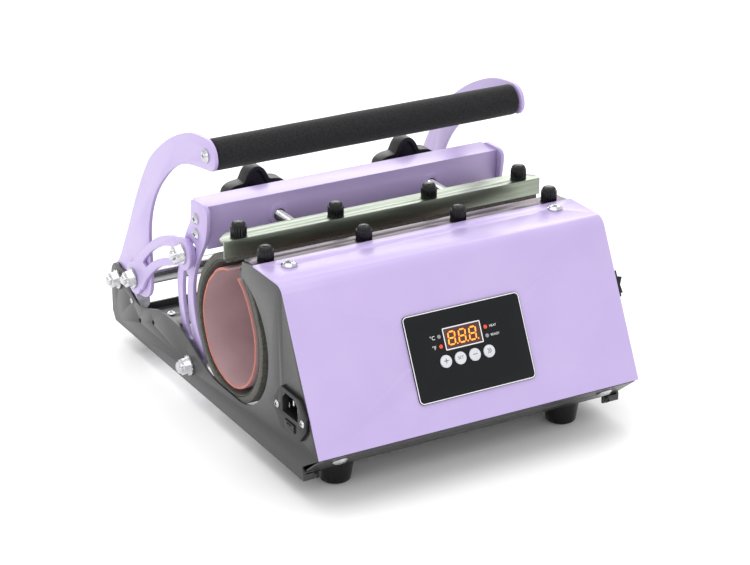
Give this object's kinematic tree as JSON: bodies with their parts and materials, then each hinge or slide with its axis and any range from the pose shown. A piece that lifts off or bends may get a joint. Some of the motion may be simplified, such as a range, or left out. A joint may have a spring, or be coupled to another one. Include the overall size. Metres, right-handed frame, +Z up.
{
  "type": "mug heat press",
  "caption": "Bench press that closes a heated sleeve round a mug with a toggle handle, with a sloped control panel in front.",
  "frame": {"origin": "on the table under the middle of the press", "axes": "+X along the mug's axis to the right, +Y from the control panel to the back, +Z up"},
  "size_m": [0.307, 0.3718, 0.2373],
  "materials": {
    "lilac_paint": "satin powder coat",
    "black_paint": "satin powder coat",
    "steel": "brushed",
    "zinc": "zinc plated",
    "black_plastic": "moulded",
    "panel_film": "smooth film",
    "display_glass": "tinted gloss",
    "button_plastic": "moulded",
    "stop_plastic": "translucent",
    "rubber": "gloss",
    "grip_foam": "fine foam",
    "heater_foam": "sponge",
    "silicone": "smooth silicone",
    "board": "solder mask",
    "components": "mixed",
    "ceramic": "glazed"
  },
  "bodies": {
    "base": {"side_plate_left": "black_paint", "side_plate_right": "black_paint", "cover": "lilac_paint", "front_pan": "black_paint", "inner_wall": "steel", "rear_cross_member": "black_paint", "feet": "rubber", "case_screws": "zinc", "control_panel": "panel_film", "display_window": "display_glass", "display_board": "board", "power_board": "board", "board_components": "components", "inlet_housing": "black_plastic", "inlet_pins": "zinc", "inlet_screws": "zinc", "switch_housing": "black_plastic", "front_clamp": "steel", "front_thumb_nuts": "black_plastic", "front_studs": "zinc", "heater_front_silicone": "silicone", "heater_front_foam": "heater_foam", "heater_front_band": "black_paint", "swing_axle": "steel", "pivot_bolts": "zinc", "pivot_nuts": "zinc", "handle_stops": "stop_plastic"},
    "handle": {"handle_arm_left": "lilac_paint", "handle_arm_right": "lilac_paint", "cross_rod": "steel", "cross_rod_nuts": "zinc", "grip_tube": "steel", "grip_foam": "grip_foam", "grip_screws": "zinc"},
    "links": {"link_left": "lilac_paint", "link_right": "lilac_paint", "link_bolts": "zinc"},
    "swing": {"swing_bracket_left": "lilac_paint", "swing_bracket_right": "lilac_paint", "channel": "lilac_paint", "channel_hardware": "zinc"},
    "clamp": {"rear_clamp": "steel", "rear_thumb_nuts": "black_plastic", "rear_studs": "zinc", "clamp_carrier": "steel", "heater_rear_silicone": "silicone", "heater_rear_foam": "heater_foam", "heater_rear_band": "black_paint"},
    "tension_left": {"tension_knob_left": "black_plastic", "tension_rod_left": "zinc"},
    "tension_right": {"tension_knob_right": "black_plastic", "tension_rod_right": "zinc"},
    "button_plus": {"button_plus": "button_plastic"},
    "button_set": {"button_set": "button_plastic"},
    "button_minus": {"button_minus": "button_plastic"},
    "button_timer": {"button_timer": "button_plastic"},
    "rocker": {"rocker": "black_plastic"},
    "fuse_drawer": {"fuse_drawer": "black_plastic", "fuse": "ceramic"}
  },
  "joints": [
    {"name": "handle_lift", "type": "hinge", "parent": "base", "child": "handle", "pos_m": [0, 0.1718, 0.0586], "axis": [-1, 0, 0], "range_deg": [0, 75]},
    {"name": "link_turn", "type": "hinge", "parent": "handle", "child": "links", "pos_m": [0, 0.1366, 0.0726], "axis": [1, 0, 0], "range_deg": [0, 91.52]},
    {"name": "swing_open", "type": "hinge", "parent": "base", "child": "swing", "pos_m": [0, 0.0335, 0.0341], "axis": [-1, 0, 0], "range_deg": [0, 17.34]},
    {"name": "clamp_slide", "type": "slide", "parent": "swing", "child": "clamp", "axis": [0, 1, 0], "range_m": [0, 0.006]},
    {"name": "knob_left_turn", "type": "hinge", "parent": "clamp", "child": "tension_left", "pos_m": [-0.0695, 0, 0.1575], "axis": [0, 1, 0], "range_deg": [0, 1729]},
    {"name": "knob_right_turn", "type": "hinge", "parent": "clamp", "child": "tension_right", "pos_m": [0.0695, 0, 0.1575], "axis": [0, 1, 0], "range_deg": [0, 1729]},
    {"name": "power_rocker", "type": "hinge", "parent": "base", "child": "rocker", "pos_m": [0.1386, -0.1443, 0.1104], "axis": [0, -0.8996, 0.4368], "range_deg": [0, 20]},
    {"name": "fuse_pull", "type": "slide", "parent": "base", "child": "fuse_drawer", "axis": [-1, 0, 0], "range_m": [0, 0.018]},
    {"name": "button_plus_press", "type": "slide", "parent": "base", "child": "button_plus", "axis": [0, 0.8996, -0.4368], "range_m": [0, 0.0008], "stiffness_N_per_m": 400, "springref_m": -0.0005},
    {"name": "button_set_press", "type": "slide", "parent": "base", "child": "button_set", "axis": [0, 0.8996, -0.4368], "range_m": [0, 0.0008], "stiffness_N_per_m": 400, "springref_m": -0.0005},
    {"name": "button_minus_press", "type": "slide", "parent": "base", "child": "button_minus", "axis": [0, 0.8996, -0.4368], "range_m": [0, 0.0008], "stiffness_N_per_m": 400, "springref_m": -0.0005},
    {"name": "button_timer_press", "type": "slide", "parent": "base", "child": "button_timer", "axis": [0, 0.8996, -0.4368], "range_m": [0, 0.0008], "stiffness_N_per_m": 400, "springref_m": -0.0005}
  ],
  "couplings": [
    {"joint": "link_turn", "follows": "handle_lift", "ratio": 1.2135},
    {"joint": "swing_open", "follows": "handle_lift", "ratio": 0.22852},
    {"joint": "knob_left_turn", "follows": "clamp_slide", "rad_per_m": 5026.5},
    {"joint": "knob_right_turn", "follows": "clamp_slide", "rad_per_m": 5026.5}
  ]
}
